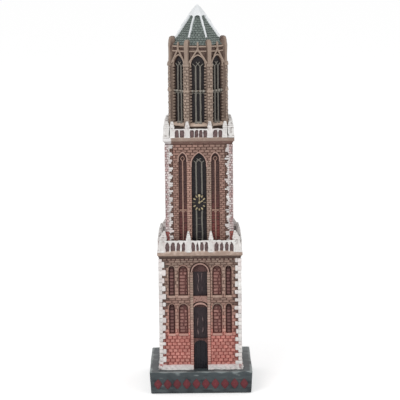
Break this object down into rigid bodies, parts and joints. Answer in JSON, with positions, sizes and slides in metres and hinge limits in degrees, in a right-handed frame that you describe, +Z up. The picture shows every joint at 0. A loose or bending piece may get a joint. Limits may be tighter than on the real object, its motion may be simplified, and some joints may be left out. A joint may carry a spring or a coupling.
{
  "type": "miniature landmark tower",
  "caption": "Painted cast-resin miniature of a Gothic church tower: square brick stages with galleries and a clock, an octagonal lantern and a slate roof, on a block base.",
  "frame": {"origin": "on the surface that it stands on, under the middle of the base", "axes": "+Z up along the tower's axis; the clock and the base's frieze face -Y"},
  "size_m": [0.0454, 0.0458, 0.1695],
  "materials": {
    "felt": "napped",
    "base_paint": "brushed paint, satin",
    "frieze_red": "brushed paint, satin",
    "brick_wall": "washed paint, matt",
    "stone_trim": "washed paint, matt",
    "white_paint": "brushed paint, matt",
    "dark_window": "brushed paint, satin",
    "grey_tracery": "brushed paint, matt",
    "brown_tracery": "brushed paint, matt",
    "clock_black": "brushed paint, satin",
    "clock_gold": "metallic paint",
    "lantern_dark": "brushed paint, satin",
    "lantern_stone": "washed paint, matt",
    "roof_slate": "dry-brushed paint, matt"
  },
  "bodies": {
    "root": {"felt_pad": "felt", "base_block": "base_paint", "base_frieze": "frieze_red", "lower_tower": "brick_wall", "middle_tower": "brick_wall", "portal_frame_front": "stone_trim", "portal_frame_right": "stone_trim", "portal_frame_back": "stone_trim", "portal_frame_left": "stone_trim", "lower_sills": "stone_trim", "lower_deck": "stone_trim", "upper_deck": "stone_trim", "middle_hoods": "stone_trim", "foot_course": "white_paint", "lower_quoin_front_right": "white_paint", "lower_quoin_back_right": "white_paint", "lower_quoin_back_left": "white_paint", "lower_quoin_front_left": "white_paint", "middle_quoin_front_right": "white_paint", "middle_quoin_back_right": "white_paint", "middle_quoin_back_left": "white_paint", "middle_quoin_front_left": "white_paint", "lower_balustrade_front": "white_paint", "lower_balustrade_right": "white_paint", "lower_balustrade_back": "white_paint", "lower_balustrade_left": "white_paint", "upper_balustrade_front": "white_paint", "upper_balustrade_right": "white_paint", "upper_balustrade_back": "white_paint", "upper_balustrade_left": "white_paint", "lower_corner_pinnacle_front_right": "white_paint", "lower_corner_pinnacle_back_right": "white_paint", "lower_corner_pinnacle_back_left": "white_paint", "lower_corner_pinnacle_front_left": "white_paint", "upper_corner_pinnacle_front_right": "white_paint", "upper_corner_pinnacle_back_right": "white_paint", "upper_corner_pinnacle_back_left": "white_paint", "upper_corner_pinnacle_front_left": "white_paint", "lower_face_pinnacles": "white_paint", "upper_face_pinnacles": "white_paint", "roof_ribs": "white_paint", "roof_cap": "white_paint", "portal_panes": "dark_window", "portal_doors": "dark_window", "middle_panes": "dark_window", "middle_tracery_front": "grey_tracery", "middle_tracery_right": "grey_tracery", "middle_tracery_back": "grey_tracery", "middle_tracery_left": "grey_tracery", "middle_side_tracery": "brown_tracery", "clock_dial": "clock_black", "clock_marks": "clock_gold", "clock_hour_hand": "clock_gold", "clock_minute_hand": "clock_gold", "lantern_core": "lantern_dark", "lantern_sills": "lantern_stone", "lantern_piers": "lantern_stone", "lantern_tracery": "lantern_stone", "lantern_gables": "lantern_stone", "roof_shell": "roof_slate"}
  },
  "joints": []
}
